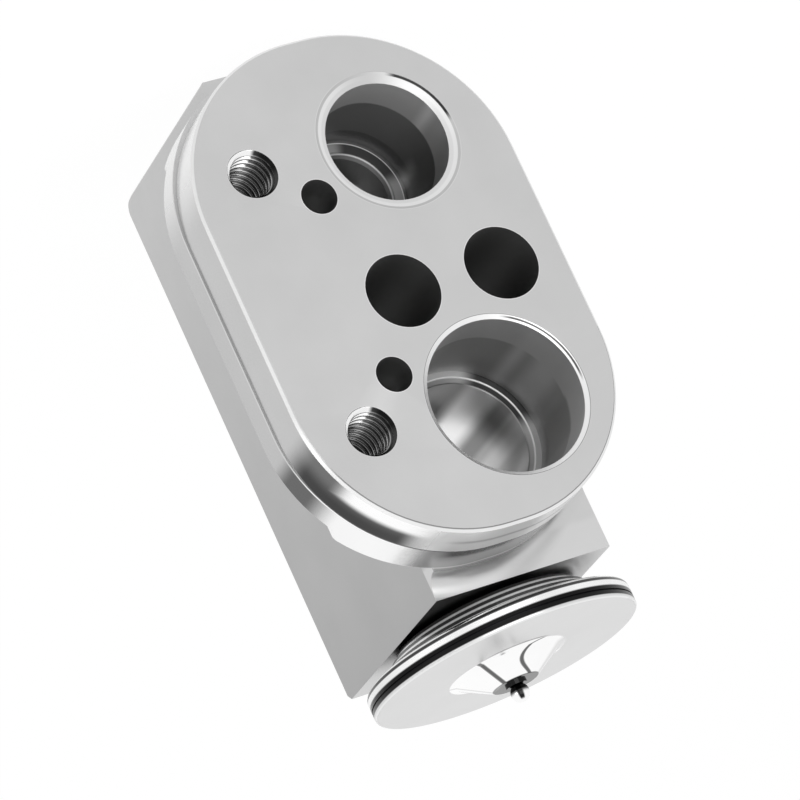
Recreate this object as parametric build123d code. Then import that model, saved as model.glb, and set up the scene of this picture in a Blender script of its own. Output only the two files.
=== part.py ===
# Refrigerant expansion valve of the block type, for a vehicle air conditioner.
#
# A T-shaped aluminium block carries four ports. A diaphragm head is screwed into its top end, and a
# rod runs down from the diaphragm, across the suction passage, to a ball that a spring holds
# against its seat. A screwed plug in the far end sets the load of that spring.
#
# Frame, in millimetres: the origin is on the machined front face, midway between the two large bolt
# holes. X runs along the face, +Y goes into the block and +Z points to the diaphragm head.

import os
from math import radians, sqrt, tan

from build123d import *

os.makedirs("parts", exist_ok=True)

# Front flange, an obround plate milled in two tiers
FLANGE_HEIGHT = 62.4
FLANGE_MIDDLE_Z = -1.4
NARROW_LEDGE = 3.2
WIDE_LEDGE = 14.25
END_FLAT = 2.2
FLANGE_THICKNESS = 10.9
SHELF_DEPTH = 14.2
SHELF_FILLET = 2.3
THIN_EDGE_DEPTH = 9.3
THIN_EDGE_WIDTH = 3.8
TIER_DEPTH = 5.8
TIER_STEP = 0.2
TIER_SHIFT = 0.5
FACE_CHAMFER = 0.4
FLANGE_FILLET = 0.25 * NARROW_LEDGE
EDGE_FILLET = 0.6

# Stem of the block, behind the flange
STEM_WIDTH = 23.1
STEM_BACK = 45.0
STEM_BOTTOM = -36.0
STEM_LENGTH = 67.4
BACK_BOTTOM_RADIUS = 2.1
BACK_TOP_CHAMFER = 1.2
STEM_EDGE_RADIUS = 0.5

# Line of the valve rod, through the middle of the ports
AXIS_Y = 27.0

# Large bolt holes right through the block
BOLT_HOLE_RADIUS = 4.5
BOLT_SPACING = 12.9

# Tapped holes and locating holes beside the ports
TAP_RADIUS = 3.0
TAP_X = 17.4
TAP_MIDDLE_Z = -1.8
TAP_SPACING = 32.8
TAP_COUNTERSINK = 0.25
LOCATOR_RADIUS = 2.15
LOCATOR_DEPTH = 8.0
LOCATOR_LOW = (11.1, -13.4)
LOCATOR_HIGH = (11.95, 9.1)
DRILL_POINT_ANGLE = 59.0

# Ports on the front face
SUCTION_Z = 15.0
SUCTION_RADIUS = 9.35
SUCTION_DEPTH = 14.2
SUCTION_BEVEL_WIDTH = 0.55
SUCTION_BEVEL_DEPTH = 0.4
SUCTION_PASSAGE_RADIUS = 8.0
LIQUID_Z = -17.8
LIQUID_RADIUS = 7.4
LIQUID_DEPTH = 14.5
LIQUID_BEVEL_WIDTH = 1.3
LIQUID_BEVEL_DEPTH = 0.4
INLET_RADIUS = 5.3
INLET_WALL = 1.1
SHOULDER_CHAMFER = 0.6

# Ports on the back face, towards the evaporator
BACK_PORT_DEPTH = 10.0
BACK_PORT_CHAMFER = 0.8
OUTLET_Z = -12.5
OUTLET_RADIUS = 4.0

# Valve chamber, seat and rod passage
CHAMBER_RADIUS = 6.5
CHAMBER_TOP = -20.0
CHAMBER_MOUTH_CHAMFER = 0.6
SEAT_RADIUS = 4.2
SEAT_THICKNESS = 3.2
ORIFICE_RADIUS = 1.5
SEAT_CONE_WIDTH = 1.1
THROAT_RADIUS = 3.0
THROAT_TOP = -8.0
SEAL_POCKET_RADIUS = 2.6
SEAL_POCKET_DEPTH = 3.4

# Rod, pin, ball and its carrier
PIN_RADIUS = 1.2
PIN_TIP_RADIUS = 0.9
PIN_TIP_LENGTH = 4.4
PIN_SOCKET_DEPTH = 3.0
SENSING_ROD_RADIUS = 4.0
SENSING_ROD_TAPER = 1.0
SPIGOT_RADIUS = 2.4
ROD_FOOT_CLEARANCE = 1.6
BALL_RADIUS = 2.4
CARRIER_RADIUS = 3.75
CARRIER_THICKNESS = 3.4
CARRIER_CUP_DEPTH = 1.56
CARRIER_SPIGOT_RADIUS = 2.5
CARRIER_SPIGOT_LENGTH = 1.6
DAMPER_THICKNESS = 1.4
DAMPER_WALL = 0.5
DAMPER_FINGERS = 6
DAMPER_FINGER_WIDTH = 1.6

# Spring and the plug that loads it
SPRING_WIRE_RADIUS = 0.42
SPRING_COIL_RADIUS = 3.2
SPRING_TURNS = 4
PLUG_SINK = 1.1
PLUG_LENGTH = 8.9
PLUG_WALL = 1.2
PLUG_GROOVE_HEIGHT = 6.0
PLUG_CHAMFER = 0.5
HEX_ACROSS_FLATS = 5.0
HEX_DEPTH = 2.5

# Diaphragm head
HEAD_RADIUS = 16.4
NECK_RADIUS = 8.0
NECK_LENGTH = 6.0
NECK_BORE_RADIUS = 5.2
NECK_HOLE_SPARE = 0.5
COLLAR_RADIUS = 10.3
COLLAR_CORNER_WIDTH = 0.9
COLLAR_CORNER_HEIGHT = 0.35
BASE_RINGS = 3
BASE_RING_WIDTH = 0.45
BASE_RING_DROP = 0.15
HEAD_WALL = 1.1
CAVITY_RADIUS = 10.4
RIM_SEAT_RADIUS = 13.6
RIM_BOTTOM = 3.2
RIM_THICKNESS = 1.8
RIM_EDGE = 0.35
RIM_ROLL = 0.8
RIM_FLAT_WIDTH = 2.2
RIM_FLAT_DROP = 0.25
CLAMP_LIP_WIDTH = 0.7
CLAMP_LIP_DROP = 0.3
DIAPHRAGM_THICKNESS = 0.2
CORRUGATION_HEIGHT = 0.25
CORRUGATIONS = 3
CAP_SKIN = 0.9
CAP_CROWN = 0.1
CONE_BASE_RADIUS = 6.5
CONE_TOP_RADIUS = 2.8
CONE_HEIGHT = 2.5
CONE_BLEND = 0.9
CONE_BLEND_RISE = 0.18
CONE_TOP_WALL = 0.24
CONE_SIDE_WALL = 0.4
CONE_ROOT_WALL = 0.24
CAP_DISH_WIDTH = 0.4
CAP_DISH_DEPTH = 0.5
FILL_HOLE_RADIUS = 0.75
FILL_BALL_RADIUS = 1.15
FILL_LIP_RADIUS = 1.3
FILL_LIP_HEIGHT = 0.3
STOP_PLATE_RADIUS = 9.4
STOP_PLATE_THICKNESS = 0.9

# Sealing rings
PLUG_SEAL_SECTION = 0.65
HEAD_SEAL_SECTION = 0.6
SEAL_RETAINER_THICKNESS = 1.6
RETAINER_LIP = 0.4

# Fits
RUNNING_FIT = 0.04
THREAD_CLEARANCE = 0.05
SEAL_CLEARANCE = 0.03
GROOVE_SPARE = 0.12
SEAT_CLEARANCE = 0.03
SPRING_SIDE_CLEARANCE = 0.3

# Places that follow from the sizes above
STEM_TOP = STEM_BOTTOM + STEM_LENGTH
STEM_LEFT = -STEM_WIDTH / 2
STEM_RIGHT = STEM_WIDTH / 2
FLANGE_LEFT = STEM_LEFT - NARROW_LEDGE
FLANGE_RIGHT = STEM_RIGHT + WIDE_LEDGE
FLANGE_WIDTH = FLANGE_RIGHT - FLANGE_LEFT
FLANGE_MIDDLE_X = (FLANGE_LEFT + FLANGE_RIGHT) / 2
SEAT_TOP = CHAMBER_TOP + SEAT_THICKNESS
SUCTION_FLOOR = SUCTION_Z - SUCTION_PASSAGE_RADIUS
SEAL_POCKET_FLOOR = SUCTION_FLOOR - SEAL_POCKET_DEPTH
ROD_SEAL_SECTION = (SEAL_POCKET_RADIUS - PIN_RADIUS) / 2 - SEAL_CLEARANCE
PLUG_RADIUS = CHAMBER_RADIUS - THREAD_CLEARANCE
PLUG_BOTTOM = STEM_BOTTOM + PLUG_SINK
PLUG_TOP = PLUG_BOTTOM + PLUG_LENGTH
PLUG_RECESS_FLOOR = PLUG_BOTTOM + HEX_DEPTH + PLUG_WALL
PLUG_GROOVE_Z = PLUG_BOTTOM + PLUG_GROOVE_HEIGHT
SEAT_CONE_TOP = CHAMBER_TOP + SEAT_CONE_WIDTH
BALL_Z = SEAT_CONE_TOP + ORIFICE_RADIUS - (BALL_RADIUS + SEAT_CLEARANCE) * sqrt(2)
CARRIER_TOP = BALL_Z - BALL_RADIUS + CARRIER_CUP_DEPTH
CARRIER_BOTTOM = CARRIER_TOP - CARRIER_THICKNESS
RIM_Z = STEM_TOP + RIM_BOTTOM
DIAPHRAGM_Z = RIM_Z + RIM_THICKNESS
CAP_Z = DIAPHRAGM_Z + DIAPHRAGM_THICKNESS
CAP_FACE_Z = CAP_Z + CAP_SKIN
FILL_LIP_Z = CAP_FACE_Z + CONE_HEIGHT + FILL_LIP_HEIGHT
CAVITY_FLOOR = STEM_TOP + HEAD_WALL
STOP_PLATE_TOP = DIAPHRAGM_Z
STOP_PLATE_BOTTOM = STOP_PLATE_TOP - STOP_PLATE_THICKNESS
SENSING_ROD_BOTTOM = SUCTION_FLOOR + ROD_FOOT_CLEARANCE
PIN_TOP = SENSING_ROD_BOTTOM + PIN_SOCKET_DEPTH
PIN_BOTTOM = BALL_Z + BALL_RADIUS


def corner_at(face, x, y):
    """Corner of a flat outline that lies nearest to a place."""
    return face.vertices().sort_by_distance((x, y, 0))[0]


def turned(points, rounded=None, radius=0.0):
    """Solid turned about the valve axis from (radius, height) points, with one corner rounded at will."""
    face = make_face(Polyline(*points, close=True))
    if rounded:
        face = fillet(corner_at(face, *rounded), radius)
    return Pos(0, AXIS_Y, 0) * revolve(Plane.XZ * face, Axis.Z, 360)


def bored(points, x, z):
    """Cutter turned about a line along Y, from (radius, depth) points."""
    outline = make_face(Polyline(*points, close=True))
    return Pos(x, 0, z) * revolve(outline, Axis.Y, 360)


def disc(radius, bottom, top):
    """Plain cylinder about the valve axis between two heights."""
    base = (Align.CENTER, Align.CENTER, Align.MIN)
    return Pos(0, AXIS_Y, bottom) * Cylinder(radius, top - bottom, align=base)


def sealing_ring(middle_radius, section, z):
    """Round-section sealing ring about the valve axis."""
    return Pos(0, AXIS_Y, z) * Torus(middle_radius, section)


def plate(step, shift, front, back):
    """Plate with nearly round ends, set in from the flange's outline and moved along it."""
    width = FLANGE_WIDTH - 2 * step
    height = FLANGE_HEIGHT - 2 * step
    outline = Plane.XZ * RectangleRounded(width, height, (width - END_FLAT) / 2)
    return Pos(FLANGE_MIDDLE_X, front, FLANGE_MIDDLE_Z - shift) * extrude(outline, front - back)


def rear_tier():
    """Second tier of the flange, flared where a round cutter ran out into the shelf."""
    tier = plate(0, TIER_SHIFT, TIER_DEPTH, SHELF_DEPTH)
    floor = plate(-2 * SHELF_FILLET, TIER_SHIFT, SHELF_DEPTH, SHELF_DEPTH + SHELF_FILLET)
    body = tier + floor
    shelf = [face for face in body.faces().filter_by(Axis.Y) if abs(face.center().Y - SHELF_DEPTH) < 0.01]
    return fillet(shelf[0].inner_wires()[0].edges(), SHELF_FILLET)


def flange():
    """Front plate: a two-tier milled outline, thinner along its long edges."""
    section = Polyline(
        (FLANGE_LEFT, 0),
        (FLANGE_RIGHT, 0),
        (FLANGE_RIGHT, THIN_EDGE_DEPTH),
        (FLANGE_RIGHT - THIN_EDGE_WIDTH, THIN_EDGE_DEPTH),
        (FLANGE_RIGHT - THIN_EDGE_WIDTH, FLANGE_THICKNESS),
        (STEM_RIGHT, FLANGE_THICKNESS),
        (STEM_RIGHT, SHELF_DEPTH),
        (STEM_LEFT, SHELF_DEPTH),
        (STEM_LEFT, THIN_EDGE_DEPTH),
        (FLANGE_LEFT, THIN_EDGE_DEPTH),
        close=True,
    )
    face = make_face(section)
    roots = [corner_at(face, STEM_LEFT, THIN_EDGE_DEPTH), corner_at(face, STEM_RIGHT, FLANGE_THICKNESS)]
    face = fillet(roots, FLANGE_FILLET)
    step_x = FLANGE_RIGHT - THIN_EDGE_WIDTH
    steps = [corner_at(face, step_x, THIN_EDGE_DEPTH), corner_at(face, step_x, FLANGE_THICKNESS)]
    face = fillet(steps, EDGE_FILLET)
    bar = Pos(0, 0, STEM_BOTTOM) * extrude(face, STEM_LENGTH)
    front = plate(TIER_STEP, 0, 0, TIER_DEPTH)
    front = chamfer(front.faces().sort_by(Axis.Y)[0].edges(), FACE_CHAMFER)
    return bar & (front + rear_tier())


def stem():
    """Narrow body behind the flange, rounded at its far back corner."""
    outline = Polyline(
        (SHELF_DEPTH, STEM_BOTTOM),
        (STEM_BACK, STEM_BOTTOM),
        (STEM_BACK, STEM_TOP),
        (SHELF_DEPTH, STEM_TOP),
        close=True,
    )
    face = make_face(outline)
    corners = face.vertices().group_by(Axis.X)[-1].sort_by(Axis.Y)
    face = fillet(corners[0], BACK_BOTTOM_RADIUS)
    corners = face.vertices().group_by(Axis.X)[-1].sort_by(Axis.Y)
    face = chamfer(corners[-1], BACK_TOP_CHAMFER)
    side = Plane(origin=(STEM_LEFT, 0, 0), x_dir=(0, 1, 0), z_dir=(1, 0, 0))
    body = extrude(side * face, STEM_WIDTH)
    long_edges = body.edges().filter_by(Axis.Z).group_by(Axis.Y)[-1]
    return chamfer(long_edges, STEM_EDGE_RADIUS)


def front_port(radius, depth, bevel_width, bevel_depth, passage_radius, passage_end, z):
    """Stepped port from the front face, with its mouth and shoulder bevelled."""
    return bored(
        [
            (0, -1),
            (radius + bevel_width, -1),
            (radius + bevel_width, 0),
            (radius, bevel_depth),
            (radius, depth),
            (passage_radius + SHOULDER_CHAMFER, depth),
            (passage_radius, depth + SHOULDER_CHAMFER),
            (passage_radius, passage_end),
            (0, passage_end),
        ],
        0,
        z,
    )


def back_port(radius, passage_radius, z):
    """Matching port from the back face, down to the passage it serves."""
    floor = STEM_BACK - BACK_PORT_DEPTH
    return bored(
        [
            (0, AXIS_Y),
            (passage_radius, AXIS_Y),
            (passage_radius, floor - SHOULDER_CHAMFER),
            (passage_radius + SHOULDER_CHAMFER, floor),
            (radius, floor),
            (radius, STEM_BACK - BACK_PORT_CHAMFER),
            (radius + BACK_PORT_CHAMFER, STEM_BACK),
            (radius + BACK_PORT_CHAMFER + 1, STEM_BACK + 1),
            (0, STEM_BACK + 1),
        ],
        0,
        z,
    )


def locating_hole(place):
    """Blind drilled hole with a drill point."""
    point = LOCATOR_RADIUS / tan(radians(DRILL_POINT_ANGLE))
    outline = [(0, -1), (LOCATOR_RADIUS, -1), (LOCATOR_RADIUS, LOCATOR_DEPTH), (0, LOCATOR_DEPTH + point)]
    return bored(outline, place[0], place[1])


def tapped_hole(z):
    """Through hole for a fine thread, countersunk at the face."""
    mouth = TAP_RADIUS + TAP_COUNTERSINK
    end = FLANGE_THICKNESS + 1
    outline = [(0, -1), (mouth + 1, -1), (mouth, 0), (TAP_RADIUS, TAP_COUNTERSINK), (TAP_RADIUS, end), (0, end)]
    return bored(outline, TAP_X, z)


def rod_line():
    """Everything bored along the valve axis, from the plug's mouth to the head's thread."""
    head_hole_floor = STEM_TOP - NECK_LENGTH - NECK_HOLE_SPARE
    seal_groove = NECK_RADIUS + HEAD_SEAL_SECTION
    return turned(
        [
            (0, STEM_BOTTOM - 1),
            (CHAMBER_RADIUS + CHAMBER_MOUTH_CHAMFER + 1, STEM_BOTTOM - 1),
            (CHAMBER_RADIUS + CHAMBER_MOUTH_CHAMFER, STEM_BOTTOM),
            (CHAMBER_RADIUS, STEM_BOTTOM + CHAMBER_MOUTH_CHAMFER),
            (CHAMBER_RADIUS, CHAMBER_TOP),
            (SEAT_RADIUS, CHAMBER_TOP),
            (SEAT_RADIUS, SEAT_TOP),
            (THROAT_RADIUS, SEAT_TOP),
            (THROAT_RADIUS, THROAT_TOP),
            (PIN_RADIUS + RUNNING_FIT, THROAT_TOP),
            (PIN_RADIUS + RUNNING_FIT, SEAL_POCKET_FLOOR),
            (SEAL_POCKET_RADIUS, SEAL_POCKET_FLOOR),
            (SEAL_POCKET_RADIUS, SUCTION_Z),
            (NECK_BORE_RADIUS, SUCTION_Z),
            (NECK_BORE_RADIUS, head_hole_floor),
            (NECK_RADIUS, head_hole_floor),
            (NECK_RADIUS, STEM_TOP - 2 * HEAD_SEAL_SECTION),
            (seal_groove + HEAD_SEAL_SECTION, STEM_TOP - 2 * HEAD_SEAL_SECTION),
            (seal_groove + HEAD_SEAL_SECTION, STEM_TOP + 1),
            (0, STEM_TOP + 1),
        ]
    )


def valve_block():
    """The machined aluminium block."""
    block = flange() + stem()
    inlet_end = AXIS_Y - SEAT_RADIUS - INLET_WALL
    block -= front_port(
        SUCTION_RADIUS,
        SUCTION_DEPTH,
        SUCTION_BEVEL_WIDTH,
        SUCTION_BEVEL_DEPTH,
        SUCTION_PASSAGE_RADIUS,
        AXIS_Y,
        SUCTION_Z,
    )
    block -= front_port(
        LIQUID_RADIUS,
        LIQUID_DEPTH,
        LIQUID_BEVEL_WIDTH,
        LIQUID_BEVEL_DEPTH,
        INLET_RADIUS,
        inlet_end,
        LIQUID_Z,
    )
    block -= back_port(SUCTION_RADIUS, SUCTION_PASSAGE_RADIUS, SUCTION_Z)
    block -= back_port(LIQUID_RADIUS, OUTLET_RADIUS, OUTLET_Z)
    for side in (-1, 1):
        hole = [(0, -1), (BOLT_HOLE_RADIUS, -1), (BOLT_HOLE_RADIUS, STEM_BACK + 1), (0, STEM_BACK + 1)]
        block -= bored(hole, side * BOLT_SPACING / 2, 0)
        block -= tapped_hole(TAP_MIDDLE_Z + side * TAP_SPACING / 2)
    for place in (LOCATOR_LOW, LOCATOR_HIGH):
        block -= locating_hole(place)
    return block - rod_line()


def seat_ring():
    """Pressed-in orifice, with the cone that the ball closes."""
    return turned(
        [
            (ORIFICE_RADIUS + SEAT_CONE_WIDTH, CHAMBER_TOP),
            (SEAT_RADIUS, CHAMBER_TOP),
            (SEAT_RADIUS, SEAT_TOP),
            (ORIFICE_RADIUS, SEAT_TOP),
            (ORIFICE_RADIUS, SEAT_CONE_TOP),
        ]
    )


def valve_ball():
    """Steel ball that closes the orifice."""
    return Pos(0, AXIS_Y, BALL_Z) * Sphere(BALL_RADIUS)


def ball_carrier():
    """Cup between the ball and the spring."""
    body = disc(CARRIER_RADIUS, CARRIER_BOTTOM, CARRIER_TOP)
    body += disc(CARRIER_SPIGOT_RADIUS, CARRIER_BOTTOM - CARRIER_SPIGOT_LENGTH, CARRIER_BOTTOM)
    return body - valve_ball()


def damping_ring():
    """Ring with sprung fingers that rub on the chamber wall and stop the ball from chattering."""
    outer = CHAMBER_RADIUS - THREAD_CLEARANCE
    bottom = CARRIER_TOP - DAMPER_THICKNESS
    top = CARRIER_TOP
    collar = disc(CARRIER_RADIUS + DAMPER_WALL, bottom, top) - disc(CARRIER_RADIUS, bottom, top)
    shell = disc(outer, bottom, top) - disc(outer - DAMPER_WALL, bottom, top)
    web = disc(outer, bottom, bottom + DAMPER_WALL) - disc(CARRIER_RADIUS, bottom, bottom + DAMPER_WALL)
    ring = shell + web
    slot = Box(DAMPER_FINGER_WIDTH, 2 * outer, 2 * DAMPER_THICKNESS)
    for turn in range(DAMPER_FINGERS // 2):
        ring -= Pos(0, AXIS_Y, bottom + DAMPER_THICKNESS / 2) * Rot(0, 0, turn * 360 / DAMPER_FINGERS) * slot
    return ring + collar


def spring():
    """Coil spring between the plug and the ball carrier, with closed ends."""
    low = PLUG_RECESS_FLOOR + SPRING_WIRE_RADIUS
    high = CARRIER_BOTTOM - SPRING_WIRE_RADIUS
    path = Helix((high - low) / SPRING_TURNS, high - low, SPRING_COIL_RADIUS)
    start = Plane(origin=path @ 0, z_dir=path % 0)
    coil = sweep(start * Circle(SPRING_WIRE_RADIUS), path)
    coil = Pos(0, AXIS_Y, low) * coil
    for z in (low, high):
        coil += Pos(0, AXIS_Y, z) * Torus(SPRING_COIL_RADIUS, SPRING_WIRE_RADIUS)
    return coil


def adjusting_plug():
    """Screwed plug with a hexagon socket outside and the spring's seat inside."""
    recess = SPRING_COIL_RADIUS + SPRING_WIRE_RADIUS + SPRING_SIDE_CLEARANCE
    groove = CHAMBER_RADIUS - 2 * PLUG_SEAL_SECTION - 2 * SEAL_CLEARANCE
    half = PLUG_SEAL_SECTION + GROOVE_SPARE
    plug = turned(
        [
            (0, PLUG_BOTTOM),
            (PLUG_RADIUS - PLUG_CHAMFER, PLUG_BOTTOM),
            (PLUG_RADIUS, PLUG_BOTTOM + PLUG_CHAMFER),
            (PLUG_RADIUS, PLUG_GROOVE_Z - half),
            (groove, PLUG_GROOVE_Z - half),
            (groove, PLUG_GROOVE_Z + half),
            (PLUG_RADIUS, PLUG_GROOVE_Z + half),
            (PLUG_RADIUS, PLUG_TOP - PLUG_CHAMFER),
            (PLUG_RADIUS - PLUG_CHAMFER, PLUG_TOP),
            (recess, PLUG_TOP),
            (recess, PLUG_RECESS_FLOOR),
            (0, PLUG_RECESS_FLOOR),
        ]
    )
    hexagon = RegularPolygon(HEX_ACROSS_FLATS / 2, 6, major_radius=False)
    socket = Pos(0, AXIS_Y, PLUG_BOTTOM) * extrude(hexagon, HEX_DEPTH)
    return plug - socket


def plug_seal():
    """Sealing ring in the plug's groove."""
    middle = CHAMBER_RADIUS - SEAL_CLEARANCE - PLUG_SEAL_SECTION
    return sealing_ring(middle, PLUG_SEAL_SECTION, PLUG_GROOVE_Z)


def push_pin():
    """Thin pin from the sensing rod to the ball, necked down in the orifice."""
    return turned(
        [
            (0, PIN_BOTTOM),
            (PIN_TIP_RADIUS, PIN_BOTTOM),
            (PIN_TIP_RADIUS, PIN_BOTTOM + PIN_TIP_LENGTH),
            (PIN_RADIUS, PIN_BOTTOM + PIN_TIP_LENGTH + PIN_RADIUS - PIN_TIP_RADIUS),
            (PIN_RADIUS, PIN_TOP),
            (0, PIN_TOP),
        ]
    )


def sensing_rod():
    """Aluminium rod that stands in the suction gas and carries its warmth to the head."""
    return turned(
        [
            (PIN_RADIUS, SENSING_ROD_BOTTOM),
            (SENSING_ROD_RADIUS - SENSING_ROD_TAPER, SENSING_ROD_BOTTOM),
            (SENSING_ROD_RADIUS, SENSING_ROD_BOTTOM + SENSING_ROD_TAPER),
            (SENSING_ROD_RADIUS, STOP_PLATE_BOTTOM),
            (SPIGOT_RADIUS, STOP_PLATE_BOTTOM),
            (SPIGOT_RADIUS, STOP_PLATE_TOP),
            (0, STOP_PLATE_TOP),
            (0, PIN_TOP),
            (PIN_RADIUS, PIN_TOP),
        ]
    )


def stop_plate():
    """Plate under the diaphragm, fixed on the rod's spigot."""
    plate = disc(STOP_PLATE_RADIUS, STOP_PLATE_BOTTOM, STOP_PLATE_TOP)
    return plate - disc(SPIGOT_RADIUS, STOP_PLATE_BOTTOM, STOP_PLATE_TOP)


def rod_seal():
    """Sealing ring round the pin, between the suction and the liquid side."""
    middle = PIN_RADIUS + SEAL_CLEARANCE + ROD_SEAL_SECTION
    return sealing_ring(middle, ROD_SEAL_SECTION, SEAL_POCKET_FLOOR + ROD_SEAL_SECTION)


def seal_retainer():
    """Pressed bush that keeps the rod's seal in its pocket."""
    bottom = SEAL_POCKET_FLOOR + 2 * ROD_SEAL_SECTION
    top = bottom + SEAL_RETAINER_THICKNESS
    bore = PIN_RADIUS + RUNNING_FIT
    return turned(
        [
            (bore, bottom),
            (SEAL_POCKET_RADIUS, bottom),
            (SEAL_POCKET_RADIUS, top),
            (bore + RETAINER_LIP, top),
            (bore, top - RETAINER_LIP),
        ]
    )


def head_seal():
    """Sealing ring under the head's collar."""
    groove = NECK_RADIUS + HEAD_SEAL_SECTION
    return sealing_ring(groove, HEAD_SEAL_SECTION, STEM_TOP - HEAD_SEAL_SECTION)


def head_base():
    """Lower half of the head, with its threaded neck."""
    neck = NECK_RADIUS - THREAD_CLEARANCE
    foot = COLLAR_RADIUS + COLLAR_CORNER_WIDTH
    foot_z = STEM_TOP + COLLAR_CORNER_HEIGHT
    run = (HEAD_RADIUS - RIM_FLAT_WIDTH - foot) / BASE_RINGS
    rise = (RIM_Z - RIM_FLAT_DROP - foot_z) / BASE_RINGS
    rings = []
    for ring in range(1, BASE_RINGS + 1):
        radius = foot + ring * run
        height = foot_z + ring * rise
        rings += [(radius - BASE_RING_WIDTH, height - BASE_RING_DROP), (radius, height)]
    return turned(
        [
            (NECK_BORE_RADIUS, STEM_TOP - NECK_LENGTH),
            (neck - EDGE_FILLET, STEM_TOP - NECK_LENGTH),
            (neck, STEM_TOP - NECK_LENGTH + EDGE_FILLET),
            (neck, STEM_TOP),
            (COLLAR_RADIUS, STEM_TOP),
            (foot, foot_z),
            *rings,
            (HEAD_RADIUS, RIM_Z),
            (HEAD_RADIUS, DIAPHRAGM_Z),
            (RIM_SEAT_RADIUS, DIAPHRAGM_Z),
            (RIM_SEAT_RADIUS - CLAMP_LIP_WIDTH, DIAPHRAGM_Z - CLAMP_LIP_DROP),
            (CAVITY_RADIUS, CAVITY_FLOOR),
            (NECK_BORE_RADIUS, CAVITY_FLOOR),
        ],
        (HEAD_RADIUS, RIM_Z),
        RIM_ROLL,
    )


def diaphragm():
    """Thin corrugated steel disc, clamped between the two halves of the head."""
    step = (RIM_SEAT_RADIUS - STOP_PLATE_RADIUS) / (2 * CORRUGATIONS + 1)
    lower = [(0, DIAPHRAGM_Z), (STOP_PLATE_RADIUS, DIAPHRAGM_Z)]
    for wave in range(2 * CORRUGATIONS):
        lift = CORRUGATION_HEIGHT if wave % 2 == 0 else 0
        lower.append((STOP_PLATE_RADIUS + (wave + 1) * step, DIAPHRAGM_Z + lift))
    lower.append((HEAD_RADIUS - RIM_EDGE, DIAPHRAGM_Z))
    upper = [(r, z + DIAPHRAGM_THICKNESS) for r, z in reversed(lower)]
    return turned(lower + upper)


def head_cap():
    """Outer cover of the head, pressed with a raised centre for the filling hole."""
    crown = CAP_FACE_Z + CAP_CROWN
    cone_top = CAP_FACE_Z + CONE_HEIGHT
    return turned(
        [
            (RIM_SEAT_RADIUS, CAP_Z),
            (HEAD_RADIUS, CAP_Z),
            (HEAD_RADIUS, CAP_FACE_Z),
            (CONE_BASE_RADIUS + CONE_BLEND, crown),
            (CONE_BASE_RADIUS, crown + CONE_BLEND_RISE),
            (CONE_TOP_RADIUS, cone_top),
            (FILL_LIP_RADIUS, cone_top),
            (FILL_LIP_RADIUS, FILL_LIP_Z),
            (FILL_HOLE_RADIUS, FILL_LIP_Z),
            (FILL_HOLE_RADIUS, cone_top - CAP_SKIN),
            (CONE_TOP_RADIUS - CONE_TOP_WALL, cone_top - CAP_SKIN),
            (CONE_BASE_RADIUS - CONE_SIDE_WALL, crown - CONE_ROOT_WALL),
            (STOP_PLATE_RADIUS, CAP_Z + CAP_DISH_DEPTH),
            (RIM_SEAT_RADIUS - CAP_DISH_WIDTH, CAP_Z + CAP_DISH_DEPTH),
        ],
        (HEAD_RADIUS, CAP_FACE_Z),
        RIM_EDGE,
    )


def charge_ball():
    """Ball welded over the filling hole."""
    rise = sqrt(FILL_BALL_RADIUS**2 - FILL_HOLE_RADIUS**2)
    return Pos(0, AXIS_Y, FILL_LIP_Z + rise) * Sphere(FILL_BALL_RADIUS)


PIECES = {
    "valve_block": valve_block,
    "seat_ring": seat_ring,
    "valve_ball": valve_ball,
    "ball_carrier": ball_carrier,
    "damping_ring": damping_ring,
    "superheat_spring": spring,
    "adjusting_plug": adjusting_plug,
    "plug_seal": plug_seal,
    "push_pin": push_pin,
    "sensing_rod": sensing_rod,
    "stop_plate": stop_plate,
    "rod_seal": rod_seal,
    "seal_retainer": seal_retainer,
    "head_seal": head_seal,
    "head_base": head_base,
    "diaphragm": diaphragm,
    "head_cap": head_cap,
    "charge_ball": charge_ball,
}

for name, make in PIECES.items():
    export_step(make(), f"parts/{name}.step")
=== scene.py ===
import math

import bpy
from mathutils import Matrix, Vector


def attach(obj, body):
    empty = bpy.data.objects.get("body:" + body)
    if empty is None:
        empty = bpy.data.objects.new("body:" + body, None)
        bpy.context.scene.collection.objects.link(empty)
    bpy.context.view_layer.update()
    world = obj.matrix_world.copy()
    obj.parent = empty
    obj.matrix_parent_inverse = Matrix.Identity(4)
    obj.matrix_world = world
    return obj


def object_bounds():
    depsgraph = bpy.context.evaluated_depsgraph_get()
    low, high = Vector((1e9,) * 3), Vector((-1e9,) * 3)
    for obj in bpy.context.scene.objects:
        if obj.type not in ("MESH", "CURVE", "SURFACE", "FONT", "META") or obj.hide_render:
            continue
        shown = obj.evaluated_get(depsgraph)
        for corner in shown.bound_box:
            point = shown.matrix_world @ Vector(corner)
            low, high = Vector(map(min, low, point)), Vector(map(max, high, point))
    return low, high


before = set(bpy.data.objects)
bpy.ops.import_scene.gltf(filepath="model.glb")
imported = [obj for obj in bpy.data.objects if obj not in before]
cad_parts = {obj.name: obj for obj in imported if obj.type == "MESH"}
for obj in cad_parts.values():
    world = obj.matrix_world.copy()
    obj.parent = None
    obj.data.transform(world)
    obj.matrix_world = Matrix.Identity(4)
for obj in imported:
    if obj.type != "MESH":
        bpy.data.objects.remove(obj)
cad_low, cad_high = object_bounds()
mm = 0.001

# The stage: a pale floor under the valve's far end, on which it stands, in a white room. Floor and room
# show white to the camera and in reflections, and the floor keeps the valve's shadow.
WHITE = 1.0
FLOOR_HALF = 900 * mm
FLOOR_GAP = 0.02 * mm
FLOOR_COLOUR = (0.92, 0.92, 0.92, 1)
FLOOR_GLOW = 1.04
FLOOR_SHADOW_SHARE = 0.08
AMBIENT = 0.55

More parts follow.
